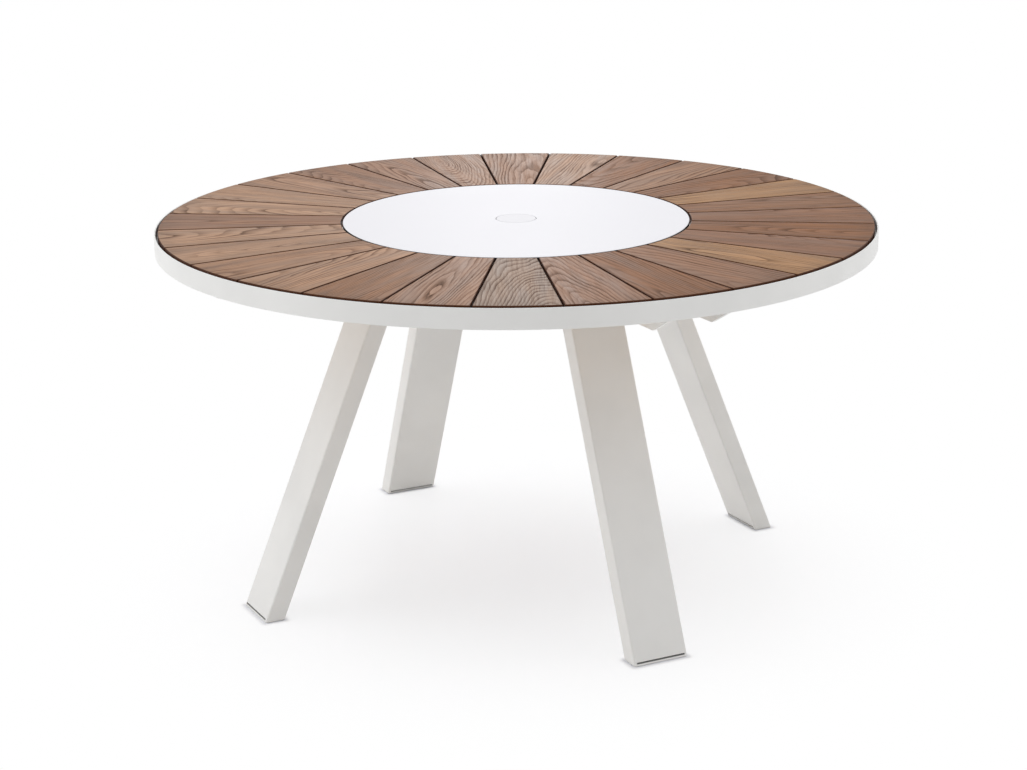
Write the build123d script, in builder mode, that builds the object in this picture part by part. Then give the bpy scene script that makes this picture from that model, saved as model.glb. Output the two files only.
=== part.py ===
from build123d import *

import os
from math import cos, radians, sin, sqrt, tan

os.makedirs("parts", exist_ok=True)

# Round garden table with raking legs, a slotted plate frame, radial wood slats and a turntable.
# All sizes are in millimetres. The floor is at zero height and +Z is up.

# Overall size
table_diameter = 1440
table_height = 740

# Rim band: flat bar rolled into a hoop, a little lower than the wood
rim_thickness = 3
rim_height = 39
wood_stands_above_rim = 2.5

# Wood slats, laid like the spokes of a wheel with joints of constant width
slat_count = 28
slat_thickness = 20
slat_joint = 4
slat_to_rim = 4.5
slat_inner_radius = 351
slat_edge_chamfer = 1.2
slat_ring_turn = -1.0

# Laser-cut plate: support rings, bearing base and rails
plate = 5
outer_ring_width = 55
inner_ring_width = 50
stiffener_depth = 20
stiffener_thickness = 3
rail_thickness = 6
rail_depth = 47.5
rail_taper_length = 58
rail_tip_round = 10
rail_notch_play = 0.1

# Legs: rectangular tube that leans outwards
leg_width = 115
leg_thickness = 38
leg_wall = 3
leg_corner = 4
leg_lean = 22.56
leg_foot_radius = 568.5
leg_angles = {"front": -90, "right": 0, "back": 90, "left": 180}

# Feet: end caps with a slit on both wide faces
foot_sole = 4
foot_slit = 3
foot_slit_depth = 6
foot_slit_end = 6
foot_plug_height = 24
foot_plug_wall = 3
foot_plug_play = 0.2

# Bolts that clamp each leg between two rails, and their nuts welded inside the leg
bolt_radius = 5
bolt_drops = (11, 34)
bolt_hole_play = 0.4
bolt_thread_play = 0.05
bolt_head_across = 16
bolt_head_height = 6.5
nut_across = 17
nut_height = 8

# Turntable disc
disc_radius = 347
disc_thickness = 10
disc_edge_chamfer = 1.0
disc_hole_radius = 33

# Turntable bearing: two grooved rings with caged balls between them
bearing_radius = 150
bearing_height = 10
bearing_ring_width = 19
bearing_face_gap = 0.8
bearing_end_play = 1.5
ball_radius = 3
ball_count = 8
groove_play = 0.3
cage_thickness = 0.8
cage_height = 8
base_plate_radius = 180

# Parasol sleeve and the cap that closes it
sleeve_bore_radius = 27
sleeve_wall = 3.5
sleeve_length = 80
sleeve_flange_radius = 45
sleeve_flange_height = 3
sleeve_plate_play = 0.2
cap_radius = 40
cap_gap = 1.0
cap_plate = 4
cap_skirt_depth = 9
cap_skirt_wall = 3
cap_skirt_play = 0.6
cap_edge_chamfer = 0.6

# Levels and radii that follow from the sizes above
rim_radius = table_diameter / 2
rim_inner_radius = rim_radius - rim_thickness
rim_top = table_height - wood_stands_above_rim
rim_bottom = rim_top - rim_height
slat_outer_radius = rim_inner_radius - slat_to_rim
slat_bottom = table_height - slat_thickness
ring_bottom = slat_bottom - plate
rail_top = ring_bottom
rail_bottom = rail_top - rail_depth
rail_inner = leg_width / 2
rail_outer = rail_inner + rail_thickness
rail_centre = (rail_inner + rail_outer) / 2
rail_reach = sqrt(rim_inner_radius**2 - rail_outer**2)
disc_bottom = table_height - disc_thickness
base_top = disc_bottom - bearing_height
ball_height = base_top + bearing_height / 2

lean_slope = tan(radians(leg_lean))
lean_stretch = 1 / cos(radians(leg_lean))
leg_run = leg_thickness * lean_stretch
leg_wall_run = leg_wall * lean_stretch
leg_bottom = foot_sole + foot_slit
leg_top = rail_top - 1


def leg_radius(height):
    """Distance of a leg's middle from the table's axis at this height."""
    return leg_foot_radius - height * lean_slope


def leg_level(angle, height):
    """Level plane centred on a leg, with X across the leg's wide face."""
    along = Vector(cos(radians(angle)), sin(radians(angle)), 0)
    across = Vector(-sin(radians(angle)), cos(radians(angle)), 0)
    centre = along * leg_radius(height) + Vector(0, 0, height)
    return Plane(origin=centre, x_dir=across, z_dir=(0, 0, 1))


def leg_rake(angle):
    """Direction up along a leg."""
    inward = -sin(radians(leg_lean))
    return Vector(inward * cos(radians(angle)), inward * sin(radians(angle)), cos(radians(leg_lean)))


def cheek_plane(angle, side, distance):
    """Upright plane beside a leg that faces away from it, with Y up."""
    along = Vector(cos(radians(angle)), sin(radians(angle)), 0)
    outward = Vector(sin(radians(angle)), -cos(radians(angle)), 0) * side
    return Plane(origin=outward * distance, x_dir=along * side, z_dir=outward)


def spoke_plane(angle, height):
    """Level plane with X along a spoke of the table."""
    along = (cos(radians(angle)), sin(radians(angle)), 0)
    return Plane(origin=(0, 0, height), x_dir=along, z_dir=(0, 0, 1))


bolt_points = [(leg_radius(rail_top - drop), rail_top - drop) for drop in bolt_drops]


# Rim band
with BuildPart() as rim_band:
    with BuildSketch(Plane.XY.offset(rim_bottom)):
        Circle(rim_radius)
        Circle(rim_inner_radius, mode=Mode.SUBTRACT)
    extrude(amount=rim_height)
rim_band.part.label = "rim_band"
export_step(rim_band.part, "parts/rim_band.step")

# Outer support ring: the ledge inside the rim band
with BuildPart() as outer_support_ring:
    with BuildSketch(Plane.XY.offset(ring_bottom)):
        Circle(rim_inner_radius)
        Circle(rim_inner_radius - outer_ring_width, mode=Mode.SUBTRACT)
    extrude(amount=plate)
outer_support_ring.part.label = "outer_support_ring"
export_step(outer_support_ring.part, "parts/outer_support_ring.step")

# Inner support ring: a flat ring on the rails
with BuildPart() as inner_support_ring:
    with BuildSketch(Plane.XY.offset(ring_bottom)):
        Circle(slat_inner_radius + inner_ring_width)
        Circle(slat_inner_radius, mode=Mode.SUBTRACT)
    extrude(amount=plate)
inner_support_ring.part.label = "inner_support_ring"
export_step(inner_support_ring.part, "parts/inner_support_ring.step")

# Stiffeners: strips on edge below the inner support ring, one in each stretch between two rails
stiffener_slot = rail_thickness + 2 * rail_notch_play
with BuildPart() as inner_ring_stiffeners:
    with BuildSketch(Plane.XY.offset(ring_bottom)):
        Circle(slat_inner_radius + stiffener_thickness)
        Circle(slat_inner_radius, mode=Mode.SUBTRACT)
        with Locations((0, -rail_centre), (0, rail_centre)):
            Rectangle(table_diameter, stiffener_slot, mode=Mode.SUBTRACT)
        with Locations((-rail_centre, 0), (rail_centre, 0)):
            Rectangle(stiffener_slot, table_diameter, mode=Mode.SUBTRACT)
    extrude(amount=-stiffener_depth)
inner_ring_stiffeners.part.label = "inner_ring_stiffeners"
export_step(inner_ring_stiffeners.part, "parts/inner_ring_stiffeners.step")

# Rails: two pairs of plates that cross in half-lap notches, with ends that taper up to the rim
rail_outline = [
    (rail_reach, rail_top),
    (rail_reach, rim_bottom),
    (rail_reach - rail_taper_length, rail_bottom),
    (-rail_reach + rail_taper_length, rail_bottom),
    (-rail_reach, rim_bottom),
    (-rail_reach, rail_top),
]
rail_planes = {
    "rail_front": (Plane.XZ.offset(rail_centre), rail_top),
    "rail_back": (Plane.XZ.offset(-rail_centre), rail_top),
    "rail_left": (Plane.YZ.offset(-rail_centre), rail_bottom),
    "rail_right": (Plane.YZ.offset(rail_centre), rail_bottom),
}
for rail_name, (rail_plane, notch_edge) in rail_planes.items():
    with BuildPart() as rail:
        with BuildSketch(rail_plane) as rail_sketch:
            with BuildLine():
                Polyline(*rail_outline, close=True)
            make_face()
            fillet(rail_sketch.vertices().group_by(Axis.Z)[0], rail_tip_round)
            with Locations((-rail_centre, notch_edge), (rail_centre, notch_edge)):
                Rectangle(rail_thickness + 2 * rail_notch_play, rail_depth, mode=Mode.SUBTRACT)
            for reach, height in bolt_points:
                with Locations((-reach, height), (reach, height)):
                    Circle(bolt_radius + bolt_hole_play, mode=Mode.SUBTRACT)
        extrude(amount=rail_thickness / 2, both=True)
    rail.part.label = rail_name
    export_step(rail.part, f"parts/{rail_name}.step")

# Wood slats
slat_pitch = 360 / slat_count
joint_apex = slat_joint / 2 / sin(radians(slat_pitch / 2))
wedge_half = (rim_radius - joint_apex) * tan(radians(slat_pitch / 2))
for index in range(slat_count):
    with BuildPart() as slat:
        with BuildSketch(spoke_plane(slat_ring_turn + index * slat_pitch, slat_bottom)):
            Circle(slat_outer_radius)
            Circle(slat_inner_radius, mode=Mode.SUBTRACT)
            Polygon(
                (joint_apex, 0), (rim_radius, -wedge_half), (rim_radius, wedge_half),
                align=None, mode=Mode.INTERSECT,
            )
        extrude(amount=slat_thickness)
        chamfer(slat.faces().sort_by(Axis.Z)[-1].edges(), slat_edge_chamfer)
    slat_name = f"slat_{index + 1:02d}"
    slat.part.label = slat_name
    export_step(slat.part, f"parts/{slat_name}.step")

# Legs, with nuts welded inside their narrow walls
inner_width = leg_width - 2 * leg_wall
inner_run = leg_run - 2 * leg_wall_run
for leg_side, angle in leg_angles.items():
    with BuildPart() as leg:
        with BuildSketch(leg_level(angle, leg_bottom)):
            RectangleRounded(leg_width, leg_run, leg_corner)
            Rectangle(inner_width, inner_run, mode=Mode.SUBTRACT)
        extrude(amount=(leg_top - leg_bottom) * lean_stretch, dir=leg_rake(angle))
        for side in (-1, 1):
            points = [(side * reach, height) for reach, height in bolt_points]
            with BuildSketch(cheek_plane(angle, side, inner_width / 2)):
                with Locations(*points):
                    RegularPolygon(nut_across / 2, 6, major_radius=False)
            extrude(amount=-nut_height)
            with BuildSketch(cheek_plane(angle, side, leg_width / 2)):
                with Locations(*points):
                    Circle(bolt_radius + bolt_thread_play)
            extrude(amount=-nut_height - leg_wall, mode=Mode.SUBTRACT)
    leg.part.label = f"leg_{leg_side}"
    export_step(leg.part, f"parts/leg_{leg_side}.step")

# Feet: a sole and a slit below the tube, and a hollow plug inside it
plug_width = inner_width - 2 * foot_plug_play
plug_run = inner_run - 2 * foot_plug_play
slit_middle = (leg_run - foot_slit_depth) / 2
for leg_side, angle in leg_angles.items():
    with BuildPart() as foot:
        with BuildSketch(leg_level(angle, 0)):
            RectangleRounded(leg_width, leg_run, leg_corner)
        extrude(amount=leg_bottom * lean_stretch, dir=leg_rake(angle))
        with BuildSketch(leg_level(angle, foot_sole)):
            with Locations((0, -slit_middle), (0, slit_middle)):
                Rectangle(leg_width - 2 * foot_slit_end, foot_slit_depth)
        extrude(amount=foot_slit * lean_stretch, dir=leg_rake(angle), mode=Mode.SUBTRACT)
        with BuildSketch(leg_level(angle, leg_bottom)):
            Rectangle(plug_width, plug_run)
            Rectangle(plug_width - 2 * foot_plug_wall, plug_run - 2 * foot_plug_wall, mode=Mode.SUBTRACT)
        extrude(amount=foot_plug_height * lean_stretch, dir=leg_rake(angle))
    foot.part.label = f"foot_{leg_side}"
    export_step(foot.part, f"parts/foot_{leg_side}.step")

# Leg bolts: hexagon heads outside the rails, shanks into the welded nuts
with BuildPart() as leg_bolts:
    for angle in leg_angles.values():
        for side in (-1, 1):
            points = [(side * reach, height) for reach, height in bolt_points]
            shank_end = inner_width / 2 - nut_height
            with BuildSketch(cheek_plane(angle, side, shank_end)):
                with Locations(*points):
                    Circle(bolt_radius)
            extrude(amount=rail_outer - shank_end)
            with BuildSketch(cheek_plane(angle, side, rail_outer)):
                with Locations(*points):
                    RegularPolygon(bolt_head_across / 2, 6, major_radius=False)
            extrude(amount=bolt_head_height)
leg_bolts.part.label = "leg_bolts"
export_step(leg_bolts.part, "parts/leg_bolts.step")

# Bearing base plate on the crossing of the rails
sleeve_radius = sleeve_bore_radius + sleeve_wall
with BuildPart() as base_plate:
    with BuildSketch(Plane.XY.offset(base_top - plate)):
        Circle(base_plate_radius)
        Circle(sleeve_radius + sleeve_plate_play, mode=Mode.SUBTRACT)
    extrude(amount=plate)
base_plate.part.label = "base_plate"
export_step(base_plate.part, "parts/base_plate.step")

# Turntable bearing: fixed outer ring and turning inner ring, with a ball groove in each
groove_centre = (bearing_radius, ball_height)
groove_radius = ball_radius + groove_play
ring_height = bearing_height - bearing_end_play
ring_middle = bearing_face_gap + bearing_ring_width / 2
with BuildPart() as bearing_outer_ring:
    with BuildSketch(Plane.XZ):
        with Locations((bearing_radius + ring_middle, base_top + ring_height / 2)):
            Rectangle(bearing_ring_width, ring_height)
        with Locations(groove_centre):
            Circle(groove_radius, mode=Mode.SUBTRACT)
    revolve(axis=Axis.Z)
bearing_outer_ring.part.label = "bearing_outer_ring"
export_step(bearing_outer_ring.part, "parts/bearing_outer_ring.step")

with BuildPart() as bearing_inner_ring:
    with BuildSketch(Plane.XZ):
        with Locations((bearing_radius - ring_middle, disc_bottom - ring_height / 2)):
            Rectangle(bearing_ring_width, ring_height)
        with Locations(groove_centre):
            Circle(groove_radius, mode=Mode.SUBTRACT)
    revolve(axis=Axis.Z)
bearing_inner_ring.part.label = "bearing_inner_ring"
export_step(bearing_inner_ring.part, "parts/bearing_inner_ring.step")

# Ball cage: a thin hoop with a window for each ball
with BuildPart() as bearing_cage:
    with BuildSketch(Plane.XY.offset(ball_height - cage_height / 2)):
        Circle(bearing_radius + cage_thickness / 2)
        Circle(bearing_radius - cage_thickness / 2, mode=Mode.SUBTRACT)
    extrude(amount=cage_height)
    for index in range(ball_count):
        turn = 360 / ball_count * index
        along = Vector(cos(radians(turn)), sin(radians(turn)), 0)
        across = Vector(-sin(radians(turn)), cos(radians(turn)), 0)
        ball_centre = along * bearing_radius + Vector(0, 0, ball_height)
        with BuildSketch(Plane(origin=ball_centre, x_dir=across, z_dir=along)):
            Rectangle(2 * groove_radius, 2 * groove_radius)
        extrude(amount=2 * cage_thickness, both=True, mode=Mode.SUBTRACT)
bearing_cage.part.label = "bearing_cage"
export_step(bearing_cage.part, "parts/bearing_cage.step")

# Balls
with BuildPart() as bearing_balls:
    with Locations(Plane.XY.offset(ball_height)):
        with PolarLocations(bearing_radius, ball_count):
            Sphere(ball_radius)
bearing_balls.part.label = "bearing_balls"
export_step(bearing_balls.part, "parts/bearing_balls.step")

# Turntable disc, with a stepped hole for the cap
with BuildPart() as turntable_disc:
    with BuildSketch(Plane.XY.offset(disc_bottom)):
        Circle(disc_radius)
    extrude(amount=disc_thickness)
    chamfer(turntable_disc.edges().group_by(Axis.Z)[-1], disc_edge_chamfer)
    with Locations(turntable_disc.faces().sort_by(Axis.Z)[-1]):
        CounterBoreHole(disc_hole_radius, cap_radius + cap_gap, cap_plate)
    cap_seat_edge = turntable_disc.edges().group_by(Axis.Z)[-1].sort_by(SortBy.RADIUS)[0]
    chamfer(cap_seat_edge, cap_edge_chamfer)
turntable_disc.part.label = "turntable_disc"
export_step(turntable_disc.part, "parts/turntable_disc.step")

# Parasol sleeve: a flanged tube through the base plate
with BuildPart() as parasol_sleeve:
    with BuildSketch(Plane.XY.offset(base_top)):
        Circle(sleeve_flange_radius)
    extrude(amount=sleeve_flange_height)
    with BuildSketch(Plane.XY.offset(base_top)):
        Circle(sleeve_radius)
    extrude(amount=-sleeve_length)
    with Locations(parasol_sleeve.faces().sort_by(Axis.Z)[-1]):
        Hole(sleeve_bore_radius)
parasol_sleeve.part.label = "parasol_sleeve"
export_step(parasol_sleeve.part, "parts/parasol_sleeve.step")

# Parasol cap: a flush plate with a hollow skirt
skirt_radius = disc_hole_radius - cap_skirt_play
with BuildPart() as parasol_cap:
    with BuildSketch(Plane.XY.offset(table_height)):
        Circle(cap_radius)
    extrude(amount=-cap_plate)
    chamfer(parasol_cap.edges().group_by(Axis.Z)[-1], cap_edge_chamfer)
    with BuildSketch(Plane.XY.offset(table_height - cap_plate)):
        Circle(skirt_radius)
        Circle(skirt_radius - cap_skirt_wall, mode=Mode.SUBTRACT)
    extrude(amount=-cap_skirt_depth)
parasol_cap.part.label = "parasol_cap"
export_step(parasol_cap.part, "parts/parasol_cap.step")

print("leg bolts at", [(round(reach, 1), round(height, 1)) for reach, height in bolt_points])
print("rails reach", round(rail_reach, 1), "and hang to", rail_bottom)
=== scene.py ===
# %% [markdown]
# # A round garden table, piece by piece
# The table has a top of 28 wood slats inside a white steel hoop, a white turntable in its middle, and
# four raking legs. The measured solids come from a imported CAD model. This lesson puts a studio round
# them, gives each surface its finish, and models again the pieces that are seen from close by, with the
# soft edges that real wood, steel and laminate have.

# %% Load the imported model
import math

import bmesh
import bpy
from mathutils import Matrix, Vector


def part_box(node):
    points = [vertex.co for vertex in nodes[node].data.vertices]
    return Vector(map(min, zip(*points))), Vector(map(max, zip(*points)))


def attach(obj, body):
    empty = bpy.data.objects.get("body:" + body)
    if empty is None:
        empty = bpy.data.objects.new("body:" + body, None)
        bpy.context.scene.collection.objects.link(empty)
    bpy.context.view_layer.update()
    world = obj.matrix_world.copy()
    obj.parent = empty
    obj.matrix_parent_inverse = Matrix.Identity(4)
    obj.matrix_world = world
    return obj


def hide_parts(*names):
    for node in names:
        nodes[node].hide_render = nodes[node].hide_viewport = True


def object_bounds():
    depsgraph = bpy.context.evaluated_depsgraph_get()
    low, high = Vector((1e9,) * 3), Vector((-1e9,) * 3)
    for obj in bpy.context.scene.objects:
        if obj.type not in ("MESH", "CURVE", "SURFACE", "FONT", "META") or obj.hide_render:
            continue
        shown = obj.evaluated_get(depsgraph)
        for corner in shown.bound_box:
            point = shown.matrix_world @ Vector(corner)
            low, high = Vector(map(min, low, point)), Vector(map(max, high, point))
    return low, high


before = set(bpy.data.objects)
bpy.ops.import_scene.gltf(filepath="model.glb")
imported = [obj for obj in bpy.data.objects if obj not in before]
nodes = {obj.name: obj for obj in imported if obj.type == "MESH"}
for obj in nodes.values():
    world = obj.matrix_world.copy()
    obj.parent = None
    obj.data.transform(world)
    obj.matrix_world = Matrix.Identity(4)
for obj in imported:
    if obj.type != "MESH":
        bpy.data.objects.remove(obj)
cad_low, cad_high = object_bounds()

# %% [markdown]
# ## The camera
# A camera stands where the photographer stood. Its lens and place were found by matching circles and leg
# edges of known size, so they are written here as plain numbers: how far round the table it stands, how
# far off, how high, and how it is tipped.

# %% Place the camera
camera_lens = 81.455
camera_round = math.radians(26.782)
camera_distance = 4.57248
camera_height = 1.72174
camera_tip = math.radians(16.2216)
camera_pan = math.radians(-0.1071)
camera_roll = math.radians(-0.5742)

camera_data = bpy.data.cameras.new("photo_camera")
camera_data.sensor_fit = "HORIZONTAL"
camera_data.sensor_width = 36
camera_data.lens = camera_lens
camera_data.clip_start = 0.05
camera_data.clip_end = 100
camera = bpy.data.objects.new("photo_camera", camera_data)
bpy.context.scene.collection.objects.link(camera)
camera_place = (
    -camera_distance * math.sin(camera_round),
    -camera_distance * math.cos(camera_round),
    camera_height,
)
camera.matrix_world = (
    Matrix.Translation(camera_place)
    @ Matrix.Rotation(-camera_round - camera_pan, 4, "Z")
    @ Matrix.Rotation(math.pi / 2 - camera_tip, 4, "X")
    @ Matrix.Rotation(camera_roll, 4, "Z")
)
bpy.context.scene.camera = camera
bpy.context.scene.view_settings.view_transform = "Standard"
print("camera stands at", [round(value, 3) for value in camera.location])

# %% [markdown]
# ## Values on wires
# A finish is a little program made of nodes. Adding each node and link by hand hides the idea, so one
# small class stands for a value on its way through the nodes. Arithmetic on such a value adds a Math
# node, and its method `node` adds any other kind: first the node's settings, then its sockets.

# %% The class that writes shader maths


class Wire:
    """A value inside a node tree. Arithmetic on it adds Math nodes."""

    def __init__(self, tree, socket=None):
        self.tree = tree
        self.socket = socket

    def node(self, kind, settings=None, sockets=None, out=0):
        """Adds a node, sets it up, fills its sockets with values or wires, and returns one output."""
        made = self.tree.nodes.new(kind)
        for name, value in (settings or {}).items():
            if name == "stops":
                steps = made.color_ramp.elements
                while len(steps) < len(value):
                    steps.new(0.5)
                for step, (place, shade) in zip(steps, value):
                    step.position = place
                    step.color = (shade, shade, shade, 1)
            else:
                setattr(made, name, value)
        for name, value in (sockets or {}).items():
            if isinstance(value, Wire):
                self.tree.links.new(value.socket, made.inputs[name])
            else:
                made.inputs[name].default_value = value
        return Wire(self.tree, made.outputs[out])

    def other(self, out):
        """Another output of the same node."""
        return Wire(self.tree, self.socket.node.outputs[out])

    def math(self, operation, *values):
        return self.node("ShaderNodeMath", {"operation": operation}, dict(enumerate(values)))

    def __add__(self, other):
        return self.math("ADD", self, other)

    def __sub__(self, other):
        return self.math("SUBTRACT", self, other)

    def __rsub__(self, other):
        return self.math("SUBTRACT", other, self)

    def __mul__(self, other):
        return self.math("MULTIPLY", self, other)

    def __truediv__(self, other):
        return self.math("DIVIDE", self, other)

    __radd__ = __add__
    __rmul__ = __mul__

    def smooth(self, low, high):
        """Rises softly from 0 at low to 1 at high."""
        settings = {"interpolation_type": "SMOOTHSTEP"}
        return self.node("ShaderNodeMapRange", settings, {"Value": self, "From Min": low, "From Max": high})

    def mix(self, first, second):
        """A colour between two others, with this value as the share of the second."""
        return self.node("ShaderNodeMix", {"data_type": "RGBA"}, {0: self, 6: first, 7: second}, out=2)

    def axes(self):
        """The x, y and z of a place."""
        x = self.node("ShaderNodeSeparateXYZ", None, {0: self})
        return x, x.other("Y"), x.other("Z")

    def measure(self, operation, *vectors):
        """A number worked out from vectors, such as a dot product or a length."""
        settings = {"operation": operation}
        return self.node("ShaderNodeVectorMath", settings, dict(enumerate(vectors)), out="Value")

    def noise(self, place, scale, detail=2.0, roughness=0.5):
        sockets = {"Vector": place, "Scale": scale, "Detail": detail, "Roughness": roughness}
        return self.node("ShaderNodeTexNoise", None, sockets)

    def point(self, x, y, z):
        return self.node("ShaderNodeCombineXYZ", None, {0: x, 1: y, 2: z})


def new_finish(name):
    """A new material, and a wire to start its maths from."""
    material = bpy.data.materials.new(name)
    material.use_nodes = True
    return material, Wire(material.node_tree)


def set_shader(material, **sockets):
    """Sets or links sockets of the material's Principled shader, named with _ for a space."""
    shader = material.node_tree.nodes["Principled BSDF"]
    for name, value in sockets.items():
        socket = shader.inputs[name.replace("_", " ")]
        if isinstance(value, Wire):
            material.node_tree.links.new(value.socket, socket)
        else:
            socket.default_value = value
    return material


print("shader maths ready")

# %% [markdown]
# ## Studio light
# The photograph was made in a white studio. Light from overhead and white walls on the left and right do
# most of the work, and little comes from the side of the camera, which is why the front of the hoop is
# greyer than its ends. Lamps could stand for all that, but walls are large and soft. So each wall or
# light is a soft lobe of brightness round one direction, and the world adds them up. What the camera and
# the reflections see of the world is plain white.

# %% Light the studio
light_panels = {
    # name: degrees round from the camera towards its right, degrees up, strength, tightness
    "overhead": (0, 90, 0.8, 2),
    "front_right_wall": (45, 0, 0.39, 3),
    "right_wall": (90, 0, 0.98, 3),
    "back_right_wall": (135, 0, 0.6, 3),
    "back_wall": (180, 0, 0.4, 3),
    "back_left_cove": (225, 0, 0.5, 10),
    "left_wall": (270, 0, 2.15, 8),
    "front_left_wall": (315, 0, 0.36, 3),
    "high_back_light": (180, 50, 0.3, 4),
    "high_left_light": (270, 50, 0.7, 4),
}


def studio_direction(round_degrees, lift_degrees):
    """A direction in the studio, given by how far it is round from the camera and how far up."""
    heading = math.radians(round_degrees) - math.pi / 2 - camera_round
    lift = math.radians(lift_degrees)
    return math.cos(heading) * math.cos(lift), math.sin(heading) * math.cos(lift), math.sin(lift)


def seen_directly(start):
    """1 for rays from the camera, by a reflection or through glass, and 0 for rays that only bring light."""
    ray = start.node("ShaderNodeLightPath", out="Is Camera Ray")
    seen = start.math("MAXIMUM", ray, ray.other("Is Glossy Ray"))
    return start.math("MAXIMUM", seen, ray.other("Is Transmission Ray"))


studio = bpy.data.worlds.new("studio")
studio.use_nodes = True
bpy.context.scene.world = studio
start = Wire(studio.node_tree)
direction = start.node("ShaderNodeTexCoord", out="Generated")
light_here = 0.0
for round_degrees, lift_degrees, panel_strength, tightness in light_panels.values():
    facing = start.measure("DOT_PRODUCT", direction, studio_direction(round_degrees, lift_degrees))
    lobe = start.math("POWER", start.math("MAXIMUM", facing, 0.0), float(tightness))
    light_here = lobe * panel_strength + light_here
seen = seen_directly(start)
background = studio.node_tree.nodes["Background"]
background.inputs["Color"].default_value = (1, 1, 1, 1)
studio.node_tree.links.new((seen + (1 - seen) * light_here).socket, background.inputs["Strength"])
print("studio light from", len(light_panels), "sides")

# %% [markdown]
# ## The floor
# The table stands on a sheet of matt white that runs out of the picture. Under this light such a sheet is
# a pale grey, while the photographed one is white. More light would burn out the table, so a share of the
# sheet glows instead, just enough to make it white where nothing shades it. The photographed shadow dies
# away about a metre from the middle of the table and is whole right beside the feet, so the sheet turns
# to plain white with distance, but not next to a foot. Right beside a foot the glow is taken away too,
# which paints a contact shade on the floor there. The light that it throws back up is a little warm,
# and its shadow a little cool.

# %% Lay the floor
floor_radius = 7
floor_drop = 0.0005
bpy.ops.object.select_all(action="DESELECT")
bpy.ops.mesh.primitive_circle_add(
    vertices=96, radius=floor_radius, fill_type="NGON", location=(0, 0, -floor_drop)
)
floor = bpy.context.object
floor.name = "studio_floor"
print("floor laid,", 2 * floor_radius, "m across")

# %% Find the shade beside the feet
leg_lean = math.radians(22.56)
leg_width = 0.115
leg_thickness = 0.038
leg_foot_radius = 0.5685
foot_thickness = leg_thickness / math.cos(leg_lean)
contact_reach = 0.014


def along_and_across_spoke(start, place):
    """Distances from the middle of the table along the spoke of the nearest leg, and across it."""
    place_x, place_y = place.axes()[:2]
    far_x = start.math("ABSOLUTE", place_x)
    far_y = start.math("ABSOLUTE", place_y)
    return start.math("MAXIMUM", far_x, far_y), start.math("MINIMUM", far_x, far_y)


floor_finish, start = new_finish("studio_floor")
place = start.node("ShaderNodeTexCoord", out="Object")
spoke, beside = along_and_across_spoke(start, place)
from_foot = start.math("ABSOLUTE", spoke - leg_foot_radius)
past_end = start.math("MAXIMUM", from_foot - foot_thickness / 2, 0.0)
past_side = start.math("MAXIMUM", beside - leg_width / 2, 0.0)
past_foot = start.math("SQRT", past_end * past_end + past_side * past_side)
clear_of_feet = past_foot.smooth(0.0, contact_reach)
print("feet", round(foot_thickness * 1000, 1), "mm thick where they are cut level")

# %% Finish the floor
floor_shadow = 0.83
floor_lit = 0.83
floor_glow = (1 - floor_shadow * floor_lit) / (1 - floor_shadow)
floor_seen = (0.91, 0.932, 0.985, 1)
floor_bounce = (0.945, 0.938, 0.928, 1)
fade_reach = 0.98
seen = seen_directly(start)
matt = start.node("ShaderNodeBsdfDiffuse", None, {"Color": seen.mix(floor_bounce, floor_seen)})
glow = start.node("ShaderNodeEmission", None, {"Strength": floor_glow})
# Painted shade: beside a foot the glow is taken away, so the floor there turns darker than the open sheet.
glow_share = seen * clear_of_feet * (1 - floor_shadow)
sheet = start.node("ShaderNodeMixShader", None, {0: glow_share, 1: matt, 2: glow})
white = start.node("ShaderNodeEmission", None, {"Strength": 1.0})
white_share = seen * clear_of_feet * start.measure("LENGTH", place).smooth(0.0, fade_reach)
sheet = start.node("ShaderNodeMixShader", None, {0: white_share, 1: sheet, 2: white})
output = floor_finish.node_tree.nodes["Material Output"]
floor_finish.node_tree.links.new(sheet.socket, output.inputs["Surface"])
floor.data.materials.append(floor_finish)
print("floor glows with a strength of", round(floor_glow, 2))

# %% [markdown]
# ## The soft box
# One soft box stands behind the table, at about head height, and shines down towards the camera. At this
# shallow angle oiled wood mirrors it, which lays the pale sheen over the boards nearest the camera and
# over those at the back, and leaves the boards on the right and the left deeper. It is a real lamp and
# not one more lobe of the world, because a sheen needs a light with a clear size and place.

# %% Stand the soft box behind the table
box_width = 0.6
box_height = 1.2
box_radiance = 2.8
box_distance = 3
box_middle = 1.6
box_tip = math.radians(75)
box_away = studio_direction(180, 0)
box_data = bpy.data.lights.new("back_soft_box", "AREA")
box_data.shape = "RECTANGLE"
box_data.size = box_width
box_data.size_y = box_height
box_data.energy = box_radiance * math.pi * box_width * box_height
soft_box = bpy.data.objects.new("back_soft_box", box_data)
soft_box.matrix_world = (
    Matrix.Translation((box_away[0] * box_distance, box_away[1] * box_distance, box_middle))
    @ Matrix.Rotation(math.pi - camera_round, 4, "Z")
    @ Matrix.Rotation(box_tip, 4, "X")
)
soft_box.visible_camera = False
bpy.context.scene.collection.objects.link(soft_box)
print("soft box of", round(box_data.energy, 1), "watts")

# %% [markdown]
# ## Oiled ash
# The slats are heat-treated ash: brown all through, with dark pores in bands, one band a year. A board
# cuts through those years at a slant, and that is what draws the arches and stripes. So the grain is
# not painted on: the finish works out, for any point of a slat, how far it lies from the middle of the
# tree that the slat was cut from, and every few millimetres of that distance is a year. Each slat finds
# its own number from its direction round the table, and draws its own tree and tilt from it.

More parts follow.
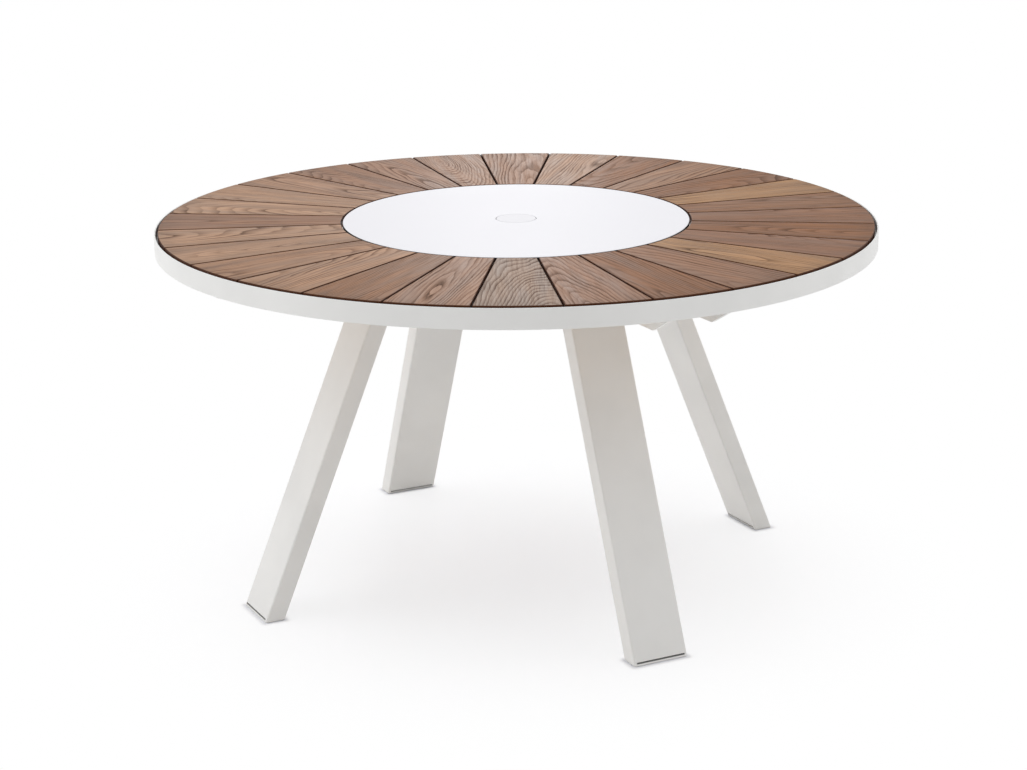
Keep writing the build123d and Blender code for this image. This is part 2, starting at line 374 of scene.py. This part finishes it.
# %% Find the slat and the place on it
slat_count = 28
slat_turn = math.radians(-1.0)
slat_pitch = 2 * math.pi / slat_count
table_top = cad_high.z
wood, start = new_finish("oiled_ash")
place_x, place_y, place_z = start.node("ShaderNodeTexCoord", out="Object").axes()
angle = start.math("ARCTAN2", place_y, place_x)
number = start.math("FLOOR", (angle - slat_turn) / slat_pitch + 0.5)
number = start.math("FLOORED_MODULO", number, float(slat_count))
middle = number * slat_pitch + slat_turn
middle_cos = start.math("COSINE", middle)
middle_sin = start.math("SINE", middle)
along = place_x * middle_cos + place_y * middle_sin
across = place_y * middle_cos - place_x * middle_sin
depth = table_top - place_z
print("a slat every", round(math.degrees(slat_pitch), 2), "degrees")

# %% [markdown]
# A draw of chance has to be the same all over one slat and different on the next, so it is made from the
# slat's number. Noise is stretched along the slat, as fibres are, and moved by such a draw, so that no
# two slats show the same stretch of it.

# %% Draw a tree for each slat
tree_seed = 3.7
tone_seed = 57.3
shift_seed = 91.1
move_along = 40
move_across = 17


def chance(seed):
    """Three random values from 0 to 1, the same all over one slat."""
    settings = {"noise_dimensions": "1D"}
    drawn = start.node("ShaderNodeTexWhiteNoise", settings, {"W": number + seed}, out="Color")
    red = start.node("ShaderNodeSeparateColor", None, {0: drawn})
    return red, red.other("Green"), red.other("Blue")


def grain_noise(along_scale, across_scale, shift, detail, roughness=0.5):
    """Noise that is long along the slat and narrow across it, different on each slat."""
    place = start.point(
        along * along_scale + shift * move_along,
        across * across_scale + shift * move_across,
        depth * across_scale,
    )
    return start.noise(place, 1.0, detail, roughness)


tree_side, tree_depth, tree_tilt = chance(tree_seed)
year_width, pick_tint, pick_tone = chance(tone_seed)
shift_a, shift_b, shift_c = chance(shift_seed)
print("nine draws for each of", slat_count, "slats")

# %% [markdown]
# The years are rings round the middle of the tree, bent by a slow and a quick wave. Each begins with a
# band of wide pores that fades out over the season, and some years are stronger than others. Finer noise
# gives the fibres, the single pores and the soft streaks between them.

# %% Grow the years
tree_spread = 0.13
tree_nearest = 0.012
tree_depth_range = 0.06
tilt_range = 0.5
slat_middle = 0.53
slow_bend = 0.045
quick_bend = 0.004
year_narrowest = 0.005
year_range = 0.006
season_stops = [(0.0, 0.0), (0.08, 1.0), (0.3, 0.55), (0.62, 0.08), (1.0, 0.0)]
years_between_slats = 31
least_band = 0.4
slow_wave = grain_noise(3, 11, shift_a, 1.5) - 0.5
quick_wave = grain_noise(16, 70, shift_b, 2.0) - 0.5
tilt = (tree_tilt - 0.5) * tilt_range
from_side = across - (tree_side - 0.5) * tree_spread
from_below = depth + tree_nearest + tree_depth * tree_depth_range + (along - slat_middle) * tilt
distance = start.math("SQRT", from_side * from_side + from_below * from_below)
distance = distance + slow_wave * slow_bend + quick_wave * quick_bend
years = distance / (year_narrowest + year_width * year_range)
year = start.math("FLOOR", years)
season = start.math("FRACT", years)
pore_band = start.node("ShaderNodeValToRGB", {"stops": season_stops}, {0: season})
year_name = year + number * years_between_slats
year_mood = start.node("ShaderNodeTexWhiteNoise", {"noise_dimensions": "1D"}, {"W": year_name})
figure = grain_noise(5, 22, shift_c, 1.0).smooth(0.3, 0.6)
pore_band = pore_band * (year_mood * (1 - least_band) + least_band)
pore_band = pore_band * (figure * (1 - least_band) + least_band)
fibre = grain_noise(9, 210, shift_b, 3.0, 0.6).smooth(0.42, 0.7)
pore = grain_noise(30, 760, shift_c, 2.0, 0.6).smooth(0.46, 0.72)
streak = grain_noise(4, 30, shift_b, 3.0, 0.55).smooth(0.3, 0.7)
print("grain grown with", len(wood.node_tree.nodes), "nodes")

# %% [markdown]
# The boards on one side of the table are painted paler than those on the other, which is painted light
# and sheen, and each board adds a paleness of its own draw; some are plum-coloured. Two tan boards and a
# grey one stand out in the photograph, so they are named here; the grey one is partly its own colour and
# partly painted sheen. The underside is taken as unoiled and is paler, and the eased edges and sides of
# the boards are dark with painted shade.

# %% Choose the colour of each slat
wood_brown = (0.25, 0.098, 0.03, 1)
wood_pale = (0.46, 0.27, 0.165, 1)
wood_plum = (0.265, 0.132, 0.074, 1)
wood_tan = (0.4, 0.21, 0.09, 1)
wood_grey = (0.31, 0.2, 0.137, 1)
tan_slats = (0.0, 23.0)
grey_slat = 19.0
painted_light_side = math.radians(150)
painted_light_paleness = 0.58
least_paleness = 0.05
chance_fade = 0.8
plum_share = 0.8
# Painted light and sheen: a board is paler the nearer its direction lies to one side, and its own draw adds
# to that.
light_and_tone_paleness = start.math("COSINE", middle - painted_light_side) * painted_light_paleness + least_paleness + pick_tone * chance_fade
tint = light_and_tone_paleness.mix(wood_brown, wood_pale)
tint = (pick_tint.smooth(0.5, 0.9) * plum_share).mix(tint, wood_plum)
for tan_slat in tan_slats:
    tint = start.math("COMPARE", number, tan_slat, 0.5).mix(tint, wood_tan)
# The grey board at the front is partly its own colour and partly painted sheen.
tint = start.math("COMPARE", number, grey_slat, 0.5).mix(tint, wood_grey)
print("slats with a colour of their own:", len(tan_slats) + 1)

# %% Put grain, sides and underside together
wood_pore = (0.062, 0.026, 0.014, 1)
wood_side_shade = (0.085, 0.031, 0.014, 1)
wood_under = (0.7, 0.45, 0.22, 1)
side_start = (0.00003, 0.0002)
side_end = (0.0185, 0.0195)
under_start = (0.0193, 0.0197)
end_start = (0.66, 0.715)
plain_tone = 0.78
tint_tone = 0.14
streak_tone = 0.36
end_shade = 0.15
band_shade = 0.75
fibre_shade = 0.22
pore_shade = 0.12
unoiled = 0.6
pore_dent = 0.0004
oiled_roughness = 0.43
pore_roughness = 0.32
streak_roughness = 0.08
outer_end = along.smooth(*end_start)
tone = plain_tone + pick_tint * tint_tone + streak * streak_tone - outer_end * end_shade
under = depth.smooth(*under_start)
tint = under.mix(tint, wood_under)
tint = start.node("ShaderNodeVectorMath", {"operation": "SCALE"}, {0: tint, "Scale": tone})
darkness = pore_band * (band_shade + pore * (1 - band_shade))
darkness = (darkness + fibre * fibre_shade + pore * pore_shade) * (1 - under * unoiled)
darkness = start.math("MINIMUM", darkness, 1.0)
wood_colour = darkness.mix(tint, wood_pore)
# Painted shade: the eased edges and the sides of every slat, down to just above the underside, are darkened.
side = depth.smooth(*side_start) - depth.smooth(*side_end)
wood_colour = side.mix(wood_colour, wood_side_shade)
dents = {"Strength": 0.35, "Distance": pore_dent, "Height": 1 - darkness}
set_shader(
    wood,
    Base_Color=wood_colour,
    Roughness=oiled_roughness + darkness * pore_roughness + (streak - 0.5) * streak_roughness,
    Specular_IOR_Level=0.12,
    Normal=start.node("ShaderNodeBump", None, dents),
)
print("wood mixed with", len(wood.node_tree.nodes), "nodes")

# %% [markdown]
# ## White paint, laminate, plastic and metal
# The hoop, the legs and the frame carry a satin powder coat, which is never quite even: it has a fine
# orange-peel skin and slow changes in gloss. The disc is a smoother laminate with a dark core, the cap
# and the feet are moulded plastic, and the hidden bearing is turned steel. They differ only in numbers,
# so one function mixes them all.

# %% A function for the other finishes
shade_colour = (0.03, 0.03, 0.03, 1)
skin_dent = 0.0003
cloud_scale = 7.0
cloud_roughness = 0.12
grain_roughness = 0.08


def satin_finish(name, colour, roughness, peel, peel_scale, cloudiness=0.03, metal=0.0, shine=0.5, dark=None):
    """A painted, moulded or metal skin: slow clouds in tone and gloss over a fine grain.

    dark, where given, is a function that finds the share of shade at a place.
    """
    material, start = new_finish(name)
    place = start.node("ShaderNodeTexCoord", out="Object")
    cloud = start.noise(place, cloud_scale, 3.0) - 0.5
    grain = start.noise(place, peel_scale, 2.0)
    dull = tuple(value * (1 - 2 * cloudiness) for value in colour) + (1,)
    skin = (cloud + 0.5).smooth(0.25, 0.75).mix(dull, colour + (1,))
    if dark:
        skin = dark(start, place).mix(skin, shade_colour)
    dents = {"Strength": peel, "Distance": skin_dent, "Height": grain}
    return set_shader(
        material,
        Base_Color=skin,
        Metallic=metal,
        Specular_IOR_Level=shine,
        Roughness=roughness + cloud * cloud_roughness + (grain - 0.5) * grain_roughness,
        Normal=start.node("ShaderNodeBump", None, dents),
    )


print("function for satin finishes ready")

# %% [markdown]
# Two of these finishes are dark in places. A slit runs along each wide face of a foot, above its sole, and
# the outer one is given painted shade. The disc is dark wherever it is cut through its two white faces.
# Both are found by their heights, so the painted shade stays inside the real slit and the dark core on the
# real edge. The smallest numbers below only soften its borders.

# %% Where the finishes are dark
sole_height = 0.004
slit_height = 0.003
slit_end = 0.006
face_start = 0.0006
face_end = 0.001


def foot_slit(start, place):
    """The share of painted shade in the outer slit of a foot, which is deep."""
    spoke, beside = along_and_across_spoke(start, place)
    outer = spoke.smooth(leg_foot_radius - 0.002, leg_foot_radius + 0.002)
    height = place.axes()[2]
    slit_top = sole_height + slit_height
    between = height.smooth(sole_height - 0.0002, sole_height + 0.0002)
    between = between - height.smooth(slit_top - 0.0001, slit_top + 0.0002)
    slit_side = leg_width / 2 - slit_end
    return outer * between * (1 - beside.smooth(slit_side - 0.0003, slit_side + 0.0003))


def laminate_core(start, place):
    """The share of dark core, which shows wherever the disc is cut through its white faces."""
    disc_low, disc_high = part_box("turntable_disc")
    height = place.axes()[2]
    above_lower_face = height.smooth(disc_low.z + face_start, disc_low.z + face_end)
    return above_lower_face - height.smooth(disc_high.z - face_end, disc_high.z - face_start)


print("slit from", sole_height, "m up, laminate faces", face_end, "m thick")

# %% Mix the other finishes
finishes = {
    "wood": wood,
    "white_paint": satin_finish("white_powder_coat", (0.85, 0.85, 0.84), 0.42, 0.12, 700.0),
    "disc_white": satin_finish(
        "white_laminate", (0.885, 0.88, 0.915), 0.5, 0.06, 1100.0,
        cloudiness=0.006, shine=0.05, dark=laminate_core,
    ),
    "cap_white": satin_finish(
        "white_cap_plastic", (0.81, 0.804, 0.838), 0.5, 0.08, 900.0, cloudiness=0.01, shine=0.12,
    ),
    "foot_plastic": satin_finish(
        "white_foot_plastic", (0.84, 0.84, 0.83), 0.5, 0.15, 800.0, dark=foot_slit,
    ),
    "cage_plastic": satin_finish("cage_plastic", (0.55, 0.5, 0.38), 0.45, 0.1, 900.0),
    "steel": satin_finish(
        "zinc_steel", (0.58, 0.58, 0.57), 0.32, 0.12, 500.0, cloudiness=0.06, metal=1.0,
    ),
    "aluminium": satin_finish(
        "brushed_aluminium", (0.74, 0.74, 0.745), 0.35, 0.1, 600.0, cloudiness=0.05, metal=1.0,
    ),
}
print("finishes:", sorted(finishes))

# %% [markdown]
# The rails, rings, stiffeners, base plate, bearing and sleeve are plain machined or welded parts below
# the top, and their solids are right as they are. They only need a finish. Most are painted, so paint is
# the rule and the others are exceptions. The solids that are modelled again further down are dressed
# here too, and are hidden then.

# %% Dress the solids
slot_of_node = {}
for name in nodes:
    if name.startswith("slat_"):
        slot_of_node[name] = "wood"
    elif name.startswith("foot_"):
        slot_of_node[name] = "foot_plastic"
    else:
        slot_of_node[name] = "white_paint"
slot_of_node.update(
    turntable_disc="disc_white",
    parasol_cap="cap_white",
    parasol_sleeve="aluminium",
    leg_bolts="steel",
    bearing_outer_ring="steel",
    bearing_inner_ring="steel",
    bearing_balls="steel",
    bearing_cage="cage_plastic",
)
for name, solid in nodes.items():
    solid.data.materials.clear()
    solid.data.materials.append(finishes[slot_of_node[name]])
print("solids dressed:", len(slot_of_node))

# %% [markdown]
# ## Modelling by hand, in code
# Every new piece starts as a primitive at its real size and place and is then worked on as at the
# screen: faces are extruded and inset, corners and edges are bevelled, cuts are made with a plane. The
# helpers below do the parts that repeat. What an operator works on is selected by its place or its
# direction, because there is no mouse here to click with.

# %% Helpers that select
touching = 1e-5
round_slack = 2e-4
clear_angle = math.radians(50)


def pick(kind, test):
    """Selects the vertices, edges or faces of the open piece that pass a test."""
    bpy.ops.mesh.select_mode(type=kind)
    bpy.ops.mesh.select_all(action="DESELECT")
    work = bmesh.from_edit_mesh(bpy.context.object.data)
    parts = {"VERT": work.verts, "EDGE": work.edges, "FACE": work.faces}[kind]
    for part in parts:
        if test(part):
            part.select_set(True)
    work.select_flush_mode()
    bmesh.update_edit_mesh(bpy.context.object.data)


def pick_all():
    bpy.ops.mesh.select_all(action="SELECT")


def level(part, height):
    """True for an edge or face that lies level at this height."""
    return all(abs(corner.co.z - height) < touching for corner in part.verts)


def at_radius(part, radius):
    """True for an edge or face whose corners are all this far from the table's axis."""
    reaches = [math.hypot(corner.co.x, corner.co.y) for corner in part.verts]
    return all(abs(reach - radius) < round_slack for reach in reaches)


def is_corner(edge):
    """True for an edge between two faces that meet at a clear angle."""
    return edge.calc_face_angle(0.0) > clear_angle


print("helpers that select ready")

# %% Helpers that make, close, copy and seat a piece
smooth_angle = math.radians(35)


def new_piece(name, add_primitive, **settings):
    """Adds a primitive as a new piece, with its place in its mesh, and opens it for editing."""
    bpy.ops.object.select_all(action="DESELECT")
    add_primitive(**settings)
    piece = bpy.context.object
    piece.name = name
    piece.data.name = name
    bpy.ops.object.transform_apply()
    bpy.ops.object.mode_set(mode="EDIT")
    return piece


def extrude(x, y, z):
    bpy.ops.mesh.extrude_region_move(TRANSFORM_OT_translate={"value": (x, y, z)})


def face_outwards():
    """Merges doubled corners and turns every face of the open piece outwards."""
    pick_all()
    bpy.ops.mesh.remove_doubles(threshold=1e-6)
    bpy.ops.mesh.normals_make_consistent(inside=False)


def close_piece(piece):
    """Ends editing, with round parts shaded smooth, clear edges left sharp and large faces kept flat."""
    face_outwards()
    bpy.ops.object.mode_set(mode="OBJECT")
    bpy.ops.object.shade_smooth_by_angle(angle=smooth_angle)
    bpy.ops.object.modifier_add(type="WEIGHTED_NORMAL")
    piece.modifiers[0].keep_sharp = True
    bpy.ops.object.modifier_apply(modifier=piece.modifiers[0].name)


def copy_piece(piece, name, placing):
    """A copy with a mesh of its own, moved by a matrix."""
    twin = piece.copy()
    twin.data = piece.data.copy()
    twin.data.transform(placing)
    twin.name = name
    twin.data.name = name
    bpy.context.scene.collection.objects.link(twin)
    return twin


def seat(piece, body, slot, *stands_for):
    """Gives a piece its finish, the body that it moves with and the solids that it stands for."""
    piece.data.materials.clear()
    piece.data.materials.append(finishes[slot])
    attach(piece, body)
    if stands_for:
        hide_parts(*stands_for)


print("modelling helpers ready")

# %% [markdown]
# ## The hoop round the top
# On the table this is a flat steel bar, 39 mm high and 3 mm thick, rolled into a ring and painted. It
# could be a cylinder with a hole cut in it, but the softly rounded edges of painted bar come more
# easily from its section: a small rectangle with its four corners bevelled, spun once round the axis.

# %% Spin the hoop
hoop_low, hoop_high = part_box("rim_band")
hoop_radius = hoop_high.x
hoop_thickness = 0.003
hoop_round = 0.0013
hoop_steps = 288
hoop_middle = (hoop_radius - hoop_thickness / 2, 0, (hoop_low.z + hoop_high.z) / 2)
hoop = new_piece(
    "rim_hoop", bpy.ops.mesh.primitive_plane_add,
    size=1, location=hoop_middle, rotation=(math.pi / 2, 0, 0),
)
pick_all()
hoop_section = (hoop_thickness, 1, hoop_high.z - hoop_low.z)
bpy.ops.transform.resize(value=hoop_section, center_override=hoop_middle)
bpy.ops.mesh.bevel(offset=hoop_round, segments=4, affect="VERTICES")
bpy.ops.mesh.delete(type="ONLY_FACE")
bpy.ops.mesh.select_mode(type="VERT")
pick_all()
bpy.ops.mesh.spin(steps=hoop_steps, angle=2 * math.pi, center=(0, 0, 0), axis=(0, 0, 1))
close_piece(hoop)
seat(hoop, "frame", "white_paint", "rim_band")
print("hoop:", len(hoop.data.polygons), "faces, radius", round(hoop_radius, 4))

# %% [markdown]
# ## The slats
# Twenty-eight boards lie like slices of a cake with open joints of one width, 4 mm, so that rain runs
# through. A joint of constant width means that the sides of a board don't point at the table's middle,
# but at a point a little way out. Cutting is the natural way to make one: a flat ring is cut with two
# planes, what is left is extruded to the board's thickness, and its edges are eased with a bevel.

# %% Cut one slat
slat_low, slat_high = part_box("slat_01")
slat_outer = 0.7125
slat_inner = 0.351
slat_joint = 0.004
slat_ease = 0.0016
corners_per_slat = 16
half_pitch = slat_pitch / 2
cut_point = (slat_joint / 2 / math.sin(half_pitch), 0, 0)
slat = new_piece(
    "slat_pattern", bpy.ops.mesh.primitive_circle_add,
    vertices=slat_count * corners_per_slat, radius=slat_outer, fill_type="NGON", location=(0, 0, slat_low.z),
)
pick_all()
bpy.ops.mesh.inset(thickness=slat_outer - slat_inner)
bpy.ops.mesh.delete(type="FACE")
for hand in (1, -1):
    pick_all()
    cut_direction = (-math.sin(half_pitch), hand * math.cos(half_pitch), 0)
    bpy.ops.mesh.bisect(plane_co=cut_point, plane_no=cut_direction, clear_outer=True)
pick_all()
extrude(0, 0, slat_high.z - slat_low.z)
face_outwards()
pick("EDGE", is_corner)
bpy.ops.mesh.bevel(offset=slat_ease, segments=3, affect="EDGES")
close_piece(slat)
print("one slat:", len(slat.data.polygons), "faces")

# %% Lay the ring of slats
for index in range(slat_count):
    node_name = f"slat_{index + 1:02d}"
    turn = Matrix.Rotation(slat_turn + index * slat_pitch, 4, "Z")
    board = copy_piece(slat, f"board_{index + 1:02d}", turn)
    seat(board, "frame", "wood", node_name)
bpy.data.objects.remove(slat)
print("slats laid:", slat_count)

# %% [markdown]
# ## The turntable
# The white disc turns on a bearing, flush with the wood and with a dark running gap round it. Its edge
# is eased so that it doesn't chip, and in its middle a stepped hole takes the cap of the parasol hole.
# A filled circle grows into it by extruding up, insetting for each step, and bridging the hole.

# %% Shape the disc
disc_low, disc_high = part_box("turntable_disc")
disc_radius = disc_high.x
disc_ease = 0.0011
seat_radius = 0.041
seat_depth = 0.004
seat_ease = 0.0006
hole_radius = 0.033
disc = new_piece(
    "turntable_panel", bpy.ops.mesh.primitive_circle_add,
    vertices=224, radius=disc_radius, fill_type="NGON", location=(0, 0, disc_low.z),
)
pick_all()
extrude(0, 0, disc_high.z - disc_low.z)
bpy.ops.mesh.inset(thickness=disc_radius - seat_radius)
extrude(0, 0, -seat_depth)
bpy.ops.mesh.inset(thickness=seat_radius - hole_radius)
bpy.ops.mesh.delete(type="FACE")
pick("FACE", lambda face: level(face, disc_low.z))
bpy.ops.mesh.inset(thickness=disc_radius - hole_radius)
bpy.ops.mesh.delete(type="FACE")
pick("EDGE", lambda edge: edge.is_boundary)
bpy.ops.mesh.bridge_edge_loops()
face_outwards()
pick("EDGE", lambda edge: at_radius(edge, disc_radius) and is_corner(edge))
bpy.ops.mesh.bevel(offset=disc_ease, segments=3, affect="EDGES")
pick("EDGE", lambda edge: at_radius(edge, seat_radius) and level(edge, disc_high.z))
bpy.ops.mesh.bevel(offset=seat_ease, segments=2, affect="EDGES")
close_piece(disc)
seat(disc, "turntable", "disc_white", "turntable_disc")
print("disc:", len(disc.data.polygons), "faces, radius", round(disc_radius, 4))

# %% [markdown]
# ## The cap of the parasol hole
# A plain moulded cap closes the hole when no parasol is in use. It is a flat plate with a skirt below
# that finds the hole. The plate's edge is rounded, so a fine ring of shadow shows round it. It grows
# downwards from its top face: plate and skirt are extruded down, and the hollow of the skirt back up.

# %% Shape the cap
cap_low, cap_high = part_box("parasol_cap")
cap_radius = cap_high.x
cap_plate = 0.004
cap_round = 0.0007
skirt_outer = 0.0324
skirt_wall = 0.003
skirt_height = cap_high.z - cap_plate - cap_low.z
cap = new_piece(
    "parasol_plug", bpy.ops.mesh.primitive_circle_add,
    vertices=128, radius=cap_radius, fill_type="NGON", location=(0, 0, cap_high.z),
)
pick_all()
extrude(0, 0, -cap_plate)
bpy.ops.mesh.inset(thickness=cap_radius - skirt_outer)
extrude(0, 0, -skirt_height)
bpy.ops.mesh.inset(thickness=skirt_wall)
extrude(0, 0, skirt_height)
face_outwards()
pick("EDGE", lambda edge: at_radius(edge, cap_radius) and is_corner(edge))
bpy.ops.mesh.bevel(offset=cap_round, segments=3, affect="EDGES")
close_piece(cap)
seat(cap, "cap", "cap_white", "parasol_cap")
print("cap:", len(cap.data.polygons), "faces, radius", round(cap_radius, 4))

# %% [markdown]
# ## The legs
# Each leg is a length of rectangular steel tube that leans outwards by 22.6 degrees, cut level at both
# ends. A level cut through a leaning tube is a rectangle too, only a little deeper, so the leg starts
# as that rectangle: corners rounded, wall inset, middle removed, and then one slanting extrusion. The
# foot below it has the same outline, so the helpers here serve both.

# %% Helpers for legs and feet
leg_corner = 0.004


def level_outline(name, place):
    """Opens a new piece that is the outline of a leg where it is cut level, with rounded corners."""
    piece = new_piece(name, bpy.ops.mesh.primitive_plane_add, size=1, location=place)
    pick_all()
    bpy.ops.transform.resize(value=(foot_thickness, leg_width, 1), center_override=place)
    bpy.ops.mesh.bevel(offset=leg_corner, segments=6, affect="VERTICES")
    return piece


def extrude_up_leg(height):
    extrude(-height * math.tan(leg_lean), 0, height)


def copy_to_other_legs(piece, kind, node_kind, slot):
    """Copies a piece of the right leg to the other three, and seats all four."""
    for index, side in enumerate(("back", "left", "front"), start=1):
        twin = copy_piece(piece, f"{kind}_{side}", Matrix.Rotation(index * math.pi / 2, 4, "Z"))
        seat(twin, "frame", slot, f"{node_kind}_{side}")
    seat(piece, "frame", slot, f"{node_kind}_right")


print("helpers for legs and feet ready")

# %% Extrude one leg and copy it round
leg_wall = 0.003
leg_low, leg_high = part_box("leg_right")
leg_start = (leg_foot_radius - leg_low.z * math.tan(leg_lean), 0, leg_low.z)
leg = level_outline("leg_tube_right", leg_start)
bpy.ops.mesh.select_mode(type="FACE")
pick_all()
bpy.ops.mesh.inset(thickness=leg_wall)
bpy.ops.mesh.delete(type="FACE")
pick_all()
extrude_up_leg(leg_high.z - leg_low.z)
close_piece(leg)
copy_to_other_legs(leg, "leg_tube", "leg", "white_paint")
print("legs: 4, each with", len(leg.data.polygons), "faces")

# %% [markdown]
# ## The feet
# A moulded cap closes the end of each tube. Its sole is 4 mm thick and rounded below, so that it slides
# over paving, and above the sole a slit runs along both wide faces. The outline is the leg's own, so the
# foot starts as the leg did. Four cuts mark where the slits end, and each next storey is an extrusion of
# fewer faces: the whole sole, the neck between the slits, and the plug inside the tube.

# %% Helpers that find the storeys of a foot
slit_depth = 0.006
neck_reach = foot_thickness / 2 - slit_depth
neck_width = leg_width / 2 - slit_end


def over_foot(face, height):
    """Where a level face lies over the foot, as distances along and across the spoke, or None."""
    if not level(face, height):
        return None
    centre = face.calc_center_median()
    return abs(centre.x + height * math.tan(leg_lean) - leg_foot_radius), abs(centre.y)


def on_neck(face):
    place = over_foot(face, sole_height)
    return place and (place[0] < neck_reach or place[1] > neck_width)


def on_plug(face):
    place = over_foot(face, sole_height + slit_height)
    return place and place[0] < neck_reach and place[1] < neck_width


print("neck", round(2 * neck_reach, 4), "by", round(2 * neck_width, 4), "m")

# %% Shape one foot and copy it round
sole_round = 0.0026
plug_height = 0.024
along_cut = (1, 0, 0)
across_cut = (0, 1, 0)
foot = level_outline("foot_cap_right", (leg_foot_radius, 0, 0))
for cut_place, cut_direction in (
    ((leg_foot_radius - neck_reach, 0, 0), along_cut),
    ((leg_foot_radius + neck_reach, 0, 0), along_cut),
    ((leg_foot_radius, -neck_width, 0), across_cut),
    ((leg_foot_radius, neck_width, 0), across_cut),
):
    pick_all()
    bpy.ops.mesh.bisect(plane_co=cut_place, plane_no=cut_direction)
bpy.ops.mesh.select_mode(type="FACE")
pick_all()
extrude_up_leg(sole_height)
pick("FACE", on_neck)
extrude_up_leg(slit_height)
pick("FACE", on_plug)
extrude_up_leg(plug_height)
face_outwards()
pick("EDGE", lambda edge: level(edge, 0) and is_corner(edge))
bpy.ops.mesh.bevel(offset=sole_round, segments=3, affect="EDGES")
close_piece(foot)
copy_to_other_legs(foot, "foot_cap", "foot", "foot_plastic")
print("feet: 4, each with", len(foot.data.polygons), "faces")

# %% [markdown]
# ## Bolts and screws
# Four bolts clamp each leg between two rails, and a screw at each end of every slat comes up from below
# through the support rings. Small fasteners are modelled once with their eased heads, copied to every
# place by a matrix, and joined, because a whole set is one piece here.

# %% Helper that sets out fasteners


def set_out(pattern, name, placings):
    """Copies a fastener to every placing and joins the copies into one piece."""
    copies = [copy_piece(pattern, f"{name}_{index}", placing) for index, placing in enumerate(placings)]
    bpy.data.objects.remove(pattern)
    bpy.ops.object.select_all(action="DESELECT")
    for copy in copies:
        copy.select_set(True)
    bpy.context.view_layer.objects.active = copies[0]
    bpy.ops.object.join()
    joined = bpy.context.object
    joined.name = name
    joined.data.name = name
    return joined


print("helper for fasteners ready")

# %% [markdown]
# A leg bolt lies level, with its head on the outside of a rail. The head is a six-sided cylinder with an
# eased face and a shallow dish, and the shank is a second cylinder in the same mesh. Two bolts stand one
# above the other on each side of a leg, and half a turn takes a bolt to the other side.

# %% Leg bolts
bolt_points = ((0.276, 0.704), (0.2856, 0.681))
rail_outside = 0.0635
head_across = 0.016
head_height = 0.0065
head_ease = 0.0008
dish_edge = 0.0012
dish_depth = 0.0004
shank_radius = 0.005
shank_start = 0.0465
lying = (math.pi / 2, 0, 0)
bolt = new_piece(
    "bolt_pattern", bpy.ops.mesh.primitive_cylinder_add, vertices=6, radius=head_across / math.sqrt(3),
    depth=head_height, location=(0, rail_outside + head_height / 2, 0), rotation=lying,
)
head_face = rail_outside + head_height
pick("EDGE", lambda edge: all(abs(corner.co.y - head_face) < touching for corner in edge.verts))
bpy.ops.mesh.bevel(offset=head_ease, segments=2, affect="EDGES")
pick("FACE", lambda face: abs(face.calc_center_median().y - head_face) < touching)
bpy.ops.mesh.inset(thickness=dish_edge)
extrude(0, -dish_depth, 0)
bpy.ops.mesh.primitive_cylinder_add(
    vertices=20, radius=shank_radius, depth=rail_outside - shank_start,
    location=(0, (rail_outside + shank_start) / 2, 0), rotation=lying,
)
close_piece(bolt)
placings = []
for quarter in range(4):
    for reach, height in bolt_points:
        for half_turn in (0, math.pi):
            to_leg = Matrix.Rotation(quarter * math.pi / 2, 4, "Z")
            to_point = Matrix.Translation((reach, 0, height))
            placings.append(to_leg @ to_point @ Matrix.Rotation(half_turn, 4, "Z"))
bolts = set_out(bolt, "leg_bolt_set", placings)
seat(bolts, "frame", "steel", "leg_bolts")
print("leg bolts:", len(placings))

# %% [markdown]
# Only the head of a slat screw shows, from below. It is a low cylinder with a rounded edge, and an inset
# of its face pushed back in is the socket for the key. Two support rings carry the slats, so each slat
# has one screw near its inner end and one near its outer end.

# %% Slat screws
ring_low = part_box("outer_support_ring")[0]
screw_reaches = (0.378, 0.69)
screw_radius = 0.0045
screw_head = 0.0024
screw_round = 0.0012
socket_edge = 0.0011
socket_depth = 0.0013
screw = new_piece(
    "screw_pattern", bpy.ops.mesh.primitive_cylinder_add, vertices=20, radius=screw_radius,
    depth=screw_head, location=(0, 0, ring_low.z - screw_head / 2),
)
head_face = ring_low.z - screw_head
pick("EDGE", lambda edge: level(edge, head_face))
bpy.ops.mesh.bevel(offset=screw_round, segments=3, affect="EDGES")
pick("FACE", lambda face: level(face, head_face))
bpy.ops.mesh.inset(thickness=socket_edge)
extrude(0, 0, socket_depth)
close_piece(screw)
placings = []
for index in range(slat_count):
    for reach in screw_reaches:
        turn = Matrix.Rotation(slat_turn + index * slat_pitch, 4, "Z")
        placings.append(turn @ Matrix.Translation((reach, 0, 0)))
screws = set_out(screw, "slat_screws", placings)
seat(screws, "frame", "steel")
print("slat screws:", len(placings))
